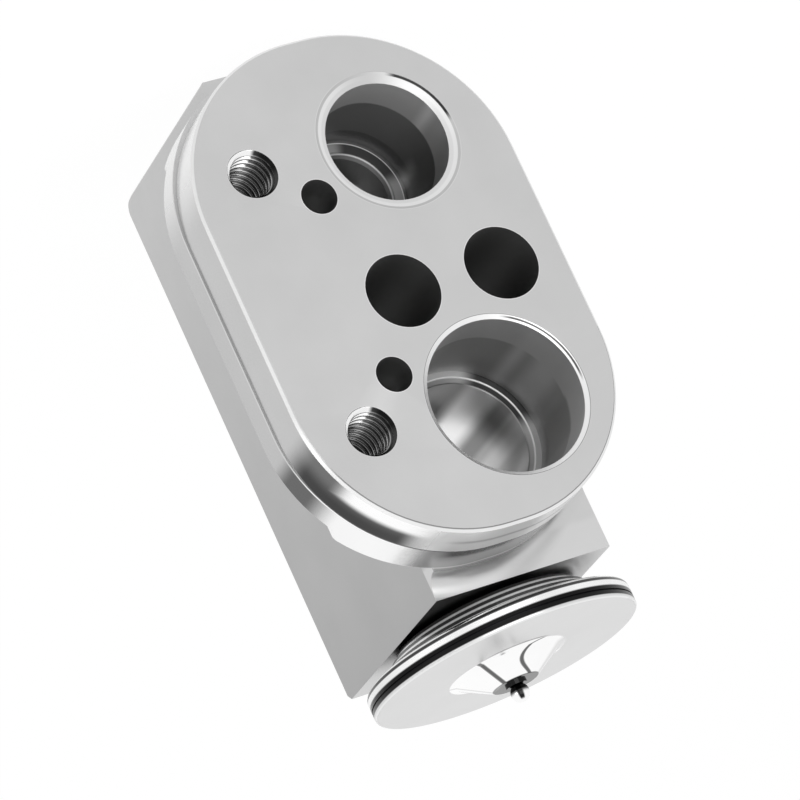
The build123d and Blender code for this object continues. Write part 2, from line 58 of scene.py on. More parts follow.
scene = bpy.context.scene
scene.view_settings.view_transform = "Standard"


def seen_by_sight(nodes, links):
    """1 for rays from the camera, from gloss or through glass, 0 for those that only light things."""
    path = nodes.new("ShaderNodeLightPath")
    seen = path.outputs["Is Camera Ray"]
    for other in ("Is Glossy Ray", "Is Transmission Ray"):
        either = nodes.new("ShaderNodeMath")
        either.operation = "MAXIMUM"
        links.new(seen, either.inputs[0])
        links.new(path.outputs[other], either.inputs[1])
        seen = either.outputs[0]
    return seen


room = bpy.data.worlds.new("white_room")
scene.world = room
room.use_nodes = True
nodes = room.node_tree.nodes
links = room.node_tree.links
nodes.clear()
ambient = nodes.new("ShaderNodeBackground")
ambient.inputs["Strength"].default_value = AMBIENT
backdrop = nodes.new("ShaderNodeBackground")
backdrop.inputs["Strength"].default_value = WHITE
for light in (ambient, backdrop):
    light.inputs["Color"].default_value = (1, 1, 1, 1)
choice = nodes.new("ShaderNodeMixShader")
links.new(seen_by_sight(nodes, links), choice.inputs["Fac"])
links.new(ambient.outputs[0], choice.inputs[1])
links.new(backdrop.outputs[0], choice.inputs[2])
room_out = nodes.new("ShaderNodeOutputWorld")
links.new(choice.outputs[0], room_out.inputs["Surface"])

floor_mesh = bpy.data.meshes.new("floor")
floor_z = cad_low.z - FLOOR_GAP
around = ((-1, -1), (1, -1), (1, 1), (-1, 1))
floor_corners = [(x * FLOOR_HALF, y * FLOOR_HALF, floor_z) for x, y in around]
floor_mesh.from_pydata(floor_corners, [], [(0, 1, 2, 3)])
floor = bpy.data.objects.new("floor", floor_mesh)
scene.collection.objects.link(floor)
floor_paint = bpy.data.materials.new("pale_floor")
floor_paint.use_nodes = True
nodes = floor_paint.node_tree.nodes
links = floor_paint.node_tree.links
nodes.clear()
matt = nodes.new("ShaderNodeBsdfDiffuse")
matt.inputs["Color"].default_value = FLOOR_COLOUR
glow = nodes.new("ShaderNodeEmission")
glow.inputs["Strength"].default_value = FLOOR_GLOW
shaded_glow = nodes.new("ShaderNodeMixShader")
shaded_glow.inputs["Fac"].default_value = FLOOR_SHADOW_SHARE
links.new(glow.outputs[0], shaded_glow.inputs[1])
links.new(matt.outputs[0], shaded_glow.inputs[2])
choice = nodes.new("ShaderNodeMixShader")
links.new(seen_by_sight(nodes, links), choice.inputs["Fac"])
links.new(matt.outputs[0], choice.inputs[1])
links.new(shaded_glow.outputs[0], choice.inputs[2])
floor_out = nodes.new("ShaderNodeOutputMaterial")
links.new(choice.outputs[0], floor_out.inputs["Surface"])
floor_mesh.materials.append(floor_paint)

# The camera stands 0.59 m from the valve with a long lens, turned about its own line of sight, because
# the photograph shows the valve lying over, with its head at the lower right.
CAMERA_AZIMUTH = math.radians(28.161)
CAMERA_ELEVATION = math.radians(15.866)
CAMERA_ROLL = math.radians(155.144)
CAMERA_DISTANCE = 590.68 * mm
CAMERA_AIM = Vector((9.598, 5.706, 10.310)) * mm
CAMERA_LENS = 238.5
CAMERA_SENSOR = 36
CAMERA_NEAR = 50 * mm
CAMERA_FAR = 10000 * mm

camera_back = Vector(
    (
        math.sin(CAMERA_AZIMUTH) * math.cos(CAMERA_ELEVATION),
        -math.cos(CAMERA_AZIMUTH) * math.cos(CAMERA_ELEVATION),
        math.sin(CAMERA_ELEVATION),
    )
)
camera_data = bpy.data.cameras.new("camera")
camera_data.lens = CAMERA_LENS
camera_data.sensor_width = CAMERA_SENSOR
camera_data.clip_start = CAMERA_NEAR
camera_data.clip_end = CAMERA_FAR
camera = bpy.data.objects.new("camera", camera_data)
scene.collection.objects.link(camera)
camera.location = CAMERA_AIM + camera_back * CAMERA_DISTANCE
upright = (-camera_back).to_track_quat("-Z", "Y").to_matrix()
camera.rotation_euler = (upright @ Matrix.Rotation(CAMERA_ROLL, 3, "Z")).to_euler()
scene.camera = camera
bpy.context.view_layer.update()
camera_axes = camera.matrix_world.to_3x3()

# Two large soft lamps, placed by the picture's own directions: one that the front face mirrors, and a
# weaker one at the side of the stem.


def softbox(name, right, up, back, width, height, power):
    """Lamp that faces the valve. Its place and size are in mm, along the picture's own directions."""
    lamp = bpy.data.lights.new(name, "AREA")
    lamp.shape = "RECTANGLE"
    lamp.size = width * mm
    lamp.size_y = height * mm
    lamp.energy = power
    holder = bpy.data.objects.new(name, lamp)
    scene.collection.objects.link(holder)
    away = camera_axes @ Vector((right, up, back)) * mm
    holder.location = CAMERA_AIM + away
    holder.rotation_euler = away.to_track_quat("Z", "Y").to_euler()


softbox("front_softbox", right=150, up=60, back=520, width=420, height=420, power=1.3)
softbox("side_softbox", right=-420, up=40, back=260, width=300, height=500, power=0.7)

# The valve block: one piece of aluminium, sawn from bar, milled round its flange in two tiers, polished
# there, and bored. Its front face is satin, and its bores are turned and dull.
BACK_Y = 45.0
TOP_Z = 31.4
SHELF_Y = 14.2
SHELF_FILLET_Y = 11.9
FLANGE_BACK_Y = 10.9
THIN_EDGE_Y = 9.3
TIER_Y = 5.8
ARC_X = 6.62
ARC_Z = 10.4
SUCTION_Z = 15.0
SUCTION_RADIUS = 9.35
SUCTION_BEVEL_RADIUS = 9.9
SUCTION_FLOOR_Y = 14.2
PASSAGE_RADIUS = 8.0
LIQUID_Z = -17.8
LIQUID_RADIUS = 7.4
LIQUID_BEVEL_RADIUS = 8.7
LIQUID_FLOOR_Y = 14.5
LIQUID_STEP_RADIUS = 7.0
LIQUID_RIM_RADIUS = 5.6
LIQUID_END_Y = 19.0
OUTLET_Z = -12.5
OUTLET_START_Y = 31.0
PORT_BEVEL_Y = 0.4
PORT_MOUTH_Y = 5.1
BOLT_HOLES = ((-6.45, 0), (6.45, 0))
BOLT_HOLE_RADIUS = 4.5
LOCATORS = ((11.1, -13.4), (11.95, 9.1))
LOCATOR_RADIUS = 2.15
LOCATOR_DEPTH = 8.05
TAPPED_HOLES = ((17.4, -18.2), (17.4, 14.6))
TAP_RADIUS = 3.0
CLOUD_SCALE = 120
CLOUD_DETAIL = 3
CLOUD_RANGE = (0.3, 0.7)
GRAIN_SCALE = 5000
GRAIN_DETAIL = 2
GRAIN_MIDDLE = 0.5
RELIEF_DEPTH = 0.01 * mm


def feed(tree, value, socket):
    """Links a value into a socket, or sets the socket to a plain number."""
    if isinstance(value, bpy.types.NodeSocket):
        tree.links.new(value, socket)
    else:
        socket.default_value = value


def reckon(tree, operation, *terms):
    """One step of arithmetic."""
    node = tree.nodes.new("ShaderNodeMath")
    node.operation = operation
    for term, socket in zip(terms, node.inputs):
        feed(tree, term, socket)
    return node.outputs[0]


def fade(tree, value, start, end):
    """Goes smoothly from 0 to 1 while a value goes from start to end, also downwards."""
    node = tree.nodes.new("ShaderNodeMapRange")
    node.interpolation_type = "SMOOTHSTEP"
    feed(tree, value, node.inputs["Value"])
    node.inputs["From Min"].default_value = start
    node.inputs["From Max"].default_value = end
    return node.outputs["Result"]


def both(tree, *masks):
    """Where all the masks hold."""
    result = masks[0]
    for mask in masks[1:]:
        result = reckon(tree, "MULTIPLY", result, mask)
    return result


def band(tree, value, low, high, soft):
    """1 between two values, with soft ends."""
    above = fade(tree, value, low - soft, low + soft)
    below = fade(tree, value, high + soft, high - soft)
    return both(tree, above, below)


def lay(tree, under, over, mask):
    """Lays one tone over another where a mask holds."""
    node = tree.nodes.new("ShaderNodeMix")
    feed(tree, mask, node.inputs[0])
    feed(tree, under, node.inputs[2])
    feed(tree, over, node.inputs[3])
    return node.outputs[0]


def streaks(tree, tone, turn, rows):
    """Lays streaks of painted reflection and painted shade round an axis over a tone. A row is a tone,
    two angles and how soft its ends are.
    """
    for over, low, high, soft in rows:
        tone = lay(tree, tone, over, band(tree, turn, low, high, soft))
    return tone


def metal_grain_group():
    """Node group with the slow cloudiness and the fine grain of worked metal."""
    group = bpy.data.node_groups.new("metal_grain", "ShaderNodeTree")
    sockets = group.interface
    sockets.new_socket("Position", in_out="INPUT", socket_type="NodeSocketVector")
    cloud_scale = sockets.new_socket("Cloud Scale", in_out="INPUT", socket_type="NodeSocketFloat")
    grain_scale = sockets.new_socket("Grain Scale", in_out="INPUT", socket_type="NodeSocketFloat")
    cloud_scale.default_value = CLOUD_SCALE
    grain_scale.default_value = GRAIN_SCALE
    sockets.new_socket("Cloud", in_out="OUTPUT", socket_type="NodeSocketFloat")
    sockets.new_socket("Grain", in_out="OUTPUT", socket_type="NodeSocketFloat")
    source = group.nodes.new("NodeGroupInput")
    result = group.nodes.new("NodeGroupOutput")
    noises = (("Cloud Scale", "Cloud", CLOUD_DETAIL), ("Grain Scale", "Grain", GRAIN_DETAIL))
    for scale, output, detail in noises:
        noise = group.nodes.new("ShaderNodeTexNoise")
        noise.inputs["Detail"].default_value = detail
        group.links.new(source.outputs["Position"], noise.inputs["Vector"])
        group.links.new(source.outputs[scale], noise.inputs["Scale"])
        group.links.new(noise.outputs["Fac"], result.inputs[output])
    return group


def round_about_group():
    """Node group that gives the distance and the angle, in degrees, of a place about an axis."""
    group = bpy.data.node_groups.new("round_about", "ShaderNodeTree")
    sockets = group.interface
    sockets.new_socket("Across", in_out="INPUT", socket_type="NodeSocketFloat")
    sockets.new_socket("Along", in_out="INPUT", socket_type="NodeSocketFloat")
    sockets.new_socket("Radius", in_out="OUTPUT", socket_type="NodeSocketFloat")
    sockets.new_socket("Turn", in_out="OUTPUT", socket_type="NodeSocketFloat")
    source = group.nodes.new("NodeGroupInput")
    result = group.nodes.new("NodeGroupOutput")
    across = source.outputs["Across"]
    along = source.outputs["Along"]
    square = reckon(group, "MULTIPLY", across, across)
    radius = reckon(group, "SQRT", reckon(group, "MULTIPLY_ADD", along, along, square))
    turn = reckon(group, "DEGREES", reckon(group, "ARCTAN2", along, across))
    group.links.new(radius, result.inputs["Radius"])
    group.links.new(turn, result.inputs["Turn"])
    return group


metal_grain = metal_grain_group()
round_about = round_about_group()


def about(tree, across, across_middle, along, along_middle, sign=1):
    """Distance and angle about an axis through a middle point, turned half round where sign is -1."""
    node = tree.nodes.new("ShaderNodeGroup")
    node.node_tree = round_about
    for value, middle, name in ((across, across_middle, "Across"), (along, along_middle, "Along")):
        step = reckon(tree, "MULTIPLY_ADD", value, sign, -sign * middle)
        tree.links.new(step, node.inputs[name])
    return node.outputs["Radius"], node.outputs["Turn"]


def new_metal(name):
    """Metal with nothing set yet: the material, its nodes, its shader and its grain."""
    material = bpy.data.materials.new(name)
    material.use_nodes = True
    tree = material.node_tree
    shader = tree.nodes["Principled BSDF"]
    shader.inputs["Metallic"].default_value = 1.0
    position = tree.nodes.new("ShaderNodeTexCoord")
    grain = tree.nodes.new("ShaderNodeGroup")
    grain.node_tree = metal_grain
    tree.links.new(position.outputs["Object"], grain.inputs["Position"])
    return material, tree, shader, grain


def place_in_mm(tree):
    """Place on the piece along x, y and z."""
    position = tree.nodes.new("ShaderNodeTexCoord")
    in_mm = tree.nodes.new("ShaderNodeVectorMath")
    in_mm.operation = "SCALE"
    in_mm.inputs["Scale"].default_value = 1 / mm
    tree.links.new(position.outputs["Object"], in_mm.inputs[0])
    split = tree.nodes.new("ShaderNodeSeparateXYZ")
    tree.links.new(in_mm.outputs["Vector"], split.inputs[0])
    return [split.outputs[axis] for axis in "XYZ"]


def facing(tree):
    """How far the surface faces along x, y and z, from -1 to 1."""
    position = tree.nodes.new("ShaderNodeTexCoord")
    split = tree.nodes.new("ShaderNodeSeparateXYZ")
    tree.links.new(position.outputs["Normal"], split.inputs[0])
    return [split.outputs[axis] for axis in "XYZ"]


def finish_metal(
    tree, shader, grain, tone, roughness, cloud, spread, bump, tint=(1, 1, 1), height=1.0
):
    """Sends a tone and a roughness to the shader, with cloudiness, grain and a fine relief."""
    drift = tree.nodes.new("ShaderNodeMapRange")
    drift.inputs["From Min"].default_value = CLOUD_RANGE[0]
    drift.inputs["From Max"].default_value = CLOUD_RANGE[1]
    drift.inputs["To Min"].default_value = 1 - cloud
    drift.inputs["To Max"].default_value = 1 + cloud
    tree.links.new(grain.outputs["Cloud"], drift.inputs["Value"])
    colour = tree.nodes.new("ShaderNodeVectorMath")
    colour.operation = "SCALE"
    colour.inputs[0].default_value = tint
    tree.links.new(reckon(tree, "MULTIPLY", tone, drift.outputs["Result"]), colour.inputs["Scale"])
    tree.links.new(colour.outputs["Vector"], shader.inputs["Base Color"])
    grit = reckon(tree, "SUBTRACT", grain.outputs["Grain"], GRAIN_MIDDLE)
    tree.links.new(reckon(tree, "MULTIPLY_ADD", grit, spread, roughness), shader.inputs["Roughness"])
    relief = tree.nodes.new("ShaderNodeBump")
    relief.inputs["Distance"].default_value = RELIEF_DEPTH
    relief.inputs["Strength"].default_value = bump
    tree.links.new(reckon(tree, "MULTIPLY", grain.outputs["Grain"], height), relief.inputs["Height"])
    tree.links.new(relief.outputs["Normal"], shader.inputs["Normal"])


# Sawn sides and shelf, with painted shade on the sides, a painted highlight on their back edge, and a
# darker arc of painted shade on the shelf.
FACE_TONE = 0.575
# Painted shade: the sides are darker than the face, and darker still towards the head.
SIDE_SHADE_TONE = 0.465
SIDE_SHADE_SLOPE = -0.0021
# Painted highlight along the sides' back edge.
BACK_EDGE_HIGHLIGHT_TONE = 0.72
SHELF_TONE = 0.62
SHELF_EDGE_TONE = 0.61
SHELF_START_Z = (27, 28)
# Painted shade: a darker arc on the shelf.
SHELF_ARC_SHADE_TONE = 0.5
SHELF_ARC_SHADE_RADII = (20.6, 22.0, 0.7)


def sides_and_shelf(tree, x, y, z, faces_x, faces_y, arc_radius):
    """Sawn sides of the stem, with painted shade that makes them darker than the face and darker still
    towards the head, a painted highlight along their back edge, and the shelf in front of its upper end
    with an arc of painted shade.
    """
    side_shade_tone = reckon(tree, "MULTIPLY_ADD", z, SIDE_SHADE_SLOPE, SIDE_SHADE_TONE)
    side = both(tree, fade(tree, faces_y, 0.6, 0.4), fade(tree, y, THIN_EDGE_Y, THIN_EDGE_Y + 0.2))
    tone = lay(tree, FACE_TONE, side_shade_tone, side)
    edge = both(tree, band(tree, faces_x, 0.5, 0.85, 0.05), fade(tree, y, BACK_Y - 1, BACK_Y - 0.6))
    tone = lay(tree, tone, BACK_EDGE_HIGHLIGHT_TONE, edge)
    shelf_tone = lay(tree, SHELF_TONE, SHELF_EDGE_TONE, fade(tree, x, 1, 8))
    on_shelf = band(tree, y, SHELF_FILLET_Y, SHELF_Y + 0.05, 0.05)
    shelf = both(tree, on_shelf, fade(tree, z, *SHELF_START_Z))
    tone = lay(tree, tone, shelf_tone, shelf)
    shelf_arc_shade = both(tree, shelf, band(tree, arc_radius, *SHELF_ARC_SHADE_RADII), fade(tree, x, 6, 0))
    return lay(tree, tone, SHELF_ARC_SHADE_TONE, shelf_arc_shade)


# Flange wall: its two tiers, painted with the reflections and the shade that the polished wall shows.
# Angles are in degrees about the middle of the round end, from the shown long edge towards the head: two
# where a zone fades in, or its first and last with the softness of its ends.
FAR_END_Z = (-14, -24)
SHOWN_SIDE = (172, 140)
# Painted reflections: the tiers' tones, pale on the far end and the arc, darker along the long side.
FRONT_TIER_REFLECTION_TONE = 0.53
FRONT_FAR_REFLECTION_TONE = 0.97
FRONT_ARC_REFLECTION_TONE = 0.98
REAR_TIER_REFLECTION_TONE = 0.51
REAR_FAR_REFLECTION_TONE = 0.92
REAR_ARC_REFLECTION_TONE = 0.92
ARC_FROM = (27, 35)
# Painted reflection: a deep dark band on the front tier, paler towards its lip.
DARK_REFLECTION_BAND = (11, 60, 6)
DARK_REFLECTION_TONE = 0.035
DARK_REFLECTION_LIP_TONE = 0.15
DARK_REFLECTION_LIP_Y = (4.6, 1.2)
DARK_REFLECTION_CORNER = (32, 25)
DARK_REFLECTION_START_Y = (2.0, 3.3)
# Painted reflection: a light streak along the front tier.
STREAK_REFLECTION_TONE = 0.62
STREAK_REFLECTION_Y = (2.9, 3.5, 0.3)
STREAK_REFLECTION_FROM = (66, 80)
# Painted reflection: a dark band on the rear tier, and a paler one at its end.
REAR_DARK_REFLECTION_BAND = (10, 26, 4)
REAR_DARK_REFLECTION_TONE = 0.12
REAR_END_REFLECTION_TONE = 0.45
REAR_END_REFLECTION_FROM = (60, 68)
# Painted shade under the step.
UNDER_STEP_SHADE_TONE = 0.13
UNDER_STEP_SHADE_BAND = (74, 99, 4)
UNDER_STEP_SHADE_Y = (8.4, 7.4)
STEP_ARC_FROM = (8, 24)
# Painted reflection: a line below the step, and a painted highlight on its edge.
STEP_LINE_REFLECTION_TONE = 0.4
STEP_LINE_ARC_REFLECTION_TONE = 0.1
STEP_LINE_FAR_REFLECTION_TONE = 0.6
STEP_EDGE_HIGHLIGHT_TONE = 0.62
STEP_EDGE_ARC_HIGHLIGHT_TONE = 0.95
# Painted highlight at the flange's root.
FLANGE_ROOT_HIGHLIGHT_TONE = 0.85
FLANGE_ROOT_HIGHLIGHT_FROM = (50, 60)


def flange_wall(tree, y, turn, far_end, shown):
    """Polished wall of the flange: two tiers and a fine step, painted with the reflections of a round
    polished edge: deep dark bands, light streaks, highlights on the step and the root, and shade under
    the step.
    """
    arc = both(tree, fade(tree, turn, *ARC_FROM), shown)
    front = lay(tree, FRONT_TIER_REFLECTION_TONE, FRONT_FAR_REFLECTION_TONE, far_end)
    front = lay(tree, front, FRONT_ARC_REFLECTION_TONE, arc)
    reflection_band_tone = lay(tree, DARK_REFLECTION_TONE, DARK_REFLECTION_LIP_TONE, fade(tree, y, *DARK_REFLECTION_LIP_Y))
    low_part = reckon(
        tree, "MAXIMUM", fade(tree, turn, *DARK_REFLECTION_CORNER), fade(tree, y, *DARK_REFLECTION_START_Y)
    )
    front = lay(tree, front, reflection_band_tone, both(tree, band(tree, turn, *DARK_REFLECTION_BAND), low_part))
    streak = both(tree, band(tree, y, *STREAK_REFLECTION_Y), fade(tree, turn, *STREAK_REFLECTION_FROM), shown)
    front = lay(tree, front, STREAK_REFLECTION_TONE, streak)
    rear = lay(tree, REAR_TIER_REFLECTION_TONE, REAR_FAR_REFLECTION_TONE, far_end)
    rear = lay(tree, rear, REAR_ARC_REFLECTION_TONE, arc)
    rear = lay(tree, rear, REAR_DARK_REFLECTION_TONE, band(tree, turn, *REAR_DARK_REFLECTION_BAND))
    rear = lay(tree, rear, REAR_END_REFLECTION_TONE, both(tree, fade(tree, turn, *REAR_END_REFLECTION_FROM), shown))
    under_step_shade = both(tree, band(tree, turn, *UNDER_STEP_SHADE_BAND), fade(tree, y, *UNDER_STEP_SHADE_Y))
    rear = lay(tree, rear, UNDER_STEP_SHADE_TONE, under_step_shade)
    tone = lay(tree, front, rear, fade(tree, y, TIER_Y - 0.02, TIER_Y + 0.02))
    on_arc = both(tree, fade(tree, turn, *STEP_ARC_FROM), shown)
    step_line_reflection = lay(tree, STEP_LINE_REFLECTION_TONE, STEP_LINE_ARC_REFLECTION_TONE, on_arc)
    step_line_reflection = lay(tree, step_line_reflection, STEP_LINE_FAR_REFLECTION_TONE, far_end)
    tone = lay(tree, tone, step_line_reflection, band(tree, y, TIER_Y - 0.2, TIER_Y - 0.02, 0.06))
    step_edge_highlight = lay(tree, STEP_EDGE_HIGHLIGHT_TONE, STEP_EDGE_ARC_HIGHLIGHT_TONE, on_arc)
    tone = lay(tree, tone, step_edge_highlight, band(tree, y, TIER_Y + 0.05, TIER_Y + 0.3, 0.06))
    root = band(tree, y, FLANGE_BACK_Y - 0.1, FLANGE_BACK_Y + 0.2, 0.08)
    root = both(tree, root, fade(tree, turn, *FLANGE_ROOT_HIGHLIGHT_FROM), shown)
    return lay(tree, tone, FLANGE_ROOT_HIGHLIGHT_TONE, root)


# Edge bevel of the flange with painted reflections, and the end face with painted shade under the head
# Painted reflections on the bevel and its lip.
BEVEL_REFLECTION_TONE = 0.8
BEVEL_LIP_REFLECTION_TONE = 0.6
BEVEL_LIP_ARC_REFLECTION_TONE = 0.25
BEVEL_LIP_Y = (0.14, 0.08)
BEVEL_ARC_FROM = (15, 30)
END_FACE_TONE = 0.6
# Painted shade on the end face under the head.
UNDER_HEAD_SHADE_TONE = 0.012
UNDER_HEAD_SHADE_X = (-7, 1)
UNDER_HEAD_SHADE_Y = (38, 26)


def bevel_and_end(tree, tone, x, y, z, faces_y, faces_z, turn, at_mouth):
    """Lays the flange's bevel, with painted reflections, and the end face, with painted shade under the
    head, over the block's tones.
    """
    bevel = both(tree, band(tree, faces_y, 0.5, 0.9, 0.05), at_mouth)
    lip_tone = lay(tree, BEVEL_LIP_REFLECTION_TONE, BEVEL_LIP_ARC_REFLECTION_TONE, fade(tree, turn, *BEVEL_ARC_FROM))
    bevel_tone = lay(tree, BEVEL_REFLECTION_TONE, lip_tone, fade(tree, y, *BEVEL_LIP_Y))
    tone = lay(tree, tone, bevel_tone, bevel)
    end = both(tree, fade(tree, faces_z, 0.6, 0.9), fade(tree, z, TOP_Z - 0.2, TOP_Z - 0.1))
    under_head_shade = both(tree, fade(tree, x, *UNDER_HEAD_SHADE_X), fade(tree, y, *UNDER_HEAD_SHADE_Y))
    return lay(tree, tone, lay(tree, END_FACE_TONE, UNDER_HEAD_SHADE_TONE, under_head_shade), end)


# Suction port, all painted reflections and painted shade: a bright bevel with a dark crease that it
# mirrors, a paler mouth, streaks along the bore, a shaded shoulder with a bright lip, and the streaked
# passage behind it
# Painted reflections and painted shade inside the suction port.
SUCTION_BORE_SHADE_TONE = 0.43
SUCTION_MOUTH_LIGHT_TONE = 0.62
SUCTION_REFLECTION_STREAKS = ((0.66, 38, 47, 5), (0.57, 8, 30, 7))
SUCTION_SHADE_TONE = 0.36
SUCTION_SHADE = (-34, -4, 4)
SUCTION_SHADE_Y = (4.5, 5.3)
PASSAGE_SHADE_TONE = 0.4
PASSAGE_REFLECTION_STREAKS = ((0.98, 35, 60, 6), (0.25, 17, 30, 3), (0.55, -6, 9, 4))
SHOULDER_LIGHT_TONE = 0.52
SHOULDER_SHADE_STREAKS = ((0.06, 5, 62, 8),)
SUCTION_LIP_HIGHLIGHT_TONE = 0.98
SUCTION_LIP_RADII = (8.5, 8.66, 0.05)
# Painted reflections on the suction port's bevel, with a dark crease.
SUCTION_RING_REFLECTION_TONE = 0.86
SUCTION_RIM_REFLECTION_TONE = 0.3
CREASE_REFLECTION_TONE = 0.08
CREASE_REFLECTION_RADII = (9.56, 9.74, 0.05)
CREASE_REFLECTION_TURNS = (-2, 66, 6)


def suction_bore(tree, y, radius, turn):
    """Painted reflections and painted shade inside the suction port."""
    mouth = fade(tree, y, PORT_MOUTH_Y + 0.3, PORT_MOUTH_Y - 0.1)
    tone = lay(tree, SUCTION_BORE_SHADE_TONE, SUCTION_MOUTH_LIGHT_TONE, mouth)
    tone = streaks(tree, tone, turn, SUCTION_REFLECTION_STREAKS)
    shade = both(tree, band(tree, turn, *SUCTION_SHADE), fade(tree, y, *SUCTION_SHADE_Y))
    tone = lay(tree, tone, SUCTION_SHADE_TONE, shade)
    passage = streaks(tree, PASSAGE_SHADE_TONE, turn, PASSAGE_REFLECTION_STREAKS)
    tone = lay(tree, tone, passage, fade(tree, radius, PASSAGE_RADIUS + 0.1, PASSAGE_RADIUS + 0.02))
    at_floor = fade(tree, y, SUCTION_FLOOR_Y - 0.1, SUCTION_FLOOR_Y - 0.05)
    beside = fade(tree, radius, PASSAGE_RADIUS + 0.05, PASSAGE_RADIUS + 0.15)
    shoulder_tone = streaks(tree, SHOULDER_LIGHT_TONE, turn, SHOULDER_SHADE_STREAKS)
    tone = lay(tree, tone, shoulder_tone, both(tree, at_floor, beside))
    lip = both(tree, band(tree, radius, *SUCTION_LIP_RADII), at_floor)
    return lay(tree, tone, SUCTION_LIP_HIGHLIGHT_TONE, lip)


def suction_ring(tree, radius, turn):
    """Painted reflections on the suction port's bevel, with a dark reflected band."""
    rim = band(tree, radius, SUCTION_BEVEL_RADIUS - 0.06, SUCTION_BEVEL_RADIUS + 0.03, 0.03)
    tone = lay(tree, SUCTION_RING_REFLECTION_TONE, SUCTION_RIM_REFLECTION_TONE, rim)
    crease_reflection = both(tree, band(tree, radius, *CREASE_REFLECTION_RADII), band(tree, turn, *CREASE_REFLECTION_TURNS))
    return lay(tree, tone, CREASE_REFLECTION_TONE, crease_reflection)


# Liquid port, all painted reflections and painted shade: a wide bevel with a dark outer line, a streaked
# mouth, a dark bore, and a stepped floor with two bright rims
# Painted reflections and painted shade inside the liquid port.
LIQUID_BORE_SHADE_TONE = 0.2
LIQUID_MOUTH_LIGHT_TONE = 0.5
LIQUID_MOUTH_SIDE_LIGHT_TONE = 0.6
LIQUID_MOUTH_SIDE = (25, -5)
LIQUID_MOUTH_REFLECTION_STREAKS = ((0.78, 14, 24, 6),)
LIQUID_REFLECTION_STREAK_TONE = 0.42
LIQUID_REFLECTION_STREAK = (-6, 6, 6)
LIQUID_REFLECTION_STREAK_Y = (9, 12)
LIQUID_STEP_LIGHT_TONE = 0.5
LIQUID_STEP_SHADE_STREAKS = ((0.1, 8, 75, 8),)
INLET_SHADE_TONE = 0.26
LIQUID_RIM_HIGHLIGHT_TONE = 0.9
# Painted reflections on the liquid port's bevel, with a dark outer line.
LIQUID_RING_REFLECTION_TONE = 0.68
LIQUID_RING_OUTER_REFLECTION_TONE = 0.76
LIQUID_RING_OUTER_RADII = (7.9, 8.4, 0.1)
LIQUID_RING_REFLECTION_STREAKS = ((0.5, 20, 100, 25),)
OUTER_LINE_REFLECTION_TONE = 0.5
OUTER_LINE_REFLECTION_STREAKS = ((0.03, 6, 64, 5),)
OUTER_LINE_RADII = (8.36, 8.68, 0.05)
# Painted shade in the outlet bore.
OUTLET_SHADE_TONE = 0.45


def liquid_bore(tree, y, radius, turn):
    """Painted reflections and painted shade inside the liquid port."""
    mouth = lay(tree, LIQUID_MOUTH_LIGHT_TONE, LIQUID_MOUTH_SIDE_LIGHT_TONE, fade(tree, turn, *LIQUID_MOUTH_SIDE))
    mouth = streaks(tree, mouth, turn, LIQUID_MOUTH_REFLECTION_STREAKS)
    tone = lay(tree, LIQUID_BORE_SHADE_TONE, mouth, fade(tree, y, PORT_MOUTH_Y + 0.25, PORT_MOUTH_Y - 0.1))
    streak = both(tree, band(tree, turn, *LIQUID_REFLECTION_STREAK), fade(tree, y, *LIQUID_REFLECTION_STREAK_Y))
    tone = lay(tree, tone, LIQUID_REFLECTION_STREAK_TONE, streak)
    at_floor = fade(tree, y, LIQUID_FLOOR_Y - 0.2, LIQUID_FLOOR_Y - 0.1)
    on_step = fade(tree, radius, LIQUID_STEP_RADIUS + 0.05, LIQUID_STEP_RADIUS)
    step_tone = streaks(tree, LIQUID_STEP_LIGHT_TONE, turn, LIQUID_STEP_SHADE_STREAKS)
    tone = lay(tree, tone, step_tone, both(tree, at_floor, on_step))
    tone = lay(tree, tone, INLET_SHADE_TONE, fade(tree, radius, LIQUID_RIM_RADIUS + 0.06, LIQUID_RIM_RADIUS))
    inner_rim = band(tree, radius, LIQUID_RIM_RADIUS + 0.02, LIQUID_RIM_RADIUS + 0.16, 0.04)
    outer_rim = band(tree, radius, LIQUID_STEP_RADIUS - 0.08, LIQUID_STEP_RADIUS + 0.06, 0.04)
    rims = reckon(tree, "MAXIMUM", inner_rim, outer_rim)
    return lay(tree, tone, LIQUID_RIM_HIGHLIGHT_TONE, both(tree, rims, at_floor))


def liquid_ring(tree, radius, turn):
    """Painted reflections on the liquid port's bevel."""
    outer = band(tree, radius, *LIQUID_RING_OUTER_RADII)
    tone = lay(tree, LIQUID_RING_REFLECTION_TONE, LIQUID_RING_OUTER_REFLECTION_TONE, outer)
    tone = streaks(tree, tone, turn, LIQUID_RING_REFLECTION_STREAKS)
    outer_line_reflection = streaks(tree, OUTER_LINE_REFLECTION_TONE, turn, OUTER_LINE_REFLECTION_STREAKS)
    return lay(tree, tone, outer_line_reflection, band(tree, radius, *OUTER_LINE_RADII))


# Drilled holes, dull inside with painted shade, a painted highlight on their fine edge, and how rough
# each place of the block is
# Painted shade inside the holes, and a painted highlight on their edge.
HOLE_SHADE_TONE = 0.26
HOLE_EDGE_HIGHLIGHT_TONE = 0.75
FACE_ROUGHNESS = 0.34
WALL_ROUGHNESS = 0.22
BORE_ROUGHNESS = 0.5
PASSAGE_ROUGHNESS = 0.3
SOFT_END_FROM = (58, 72)
SOFT_END_METALLIC_DROP = -0.55
WALL_RELIEF_DROP = -0.85


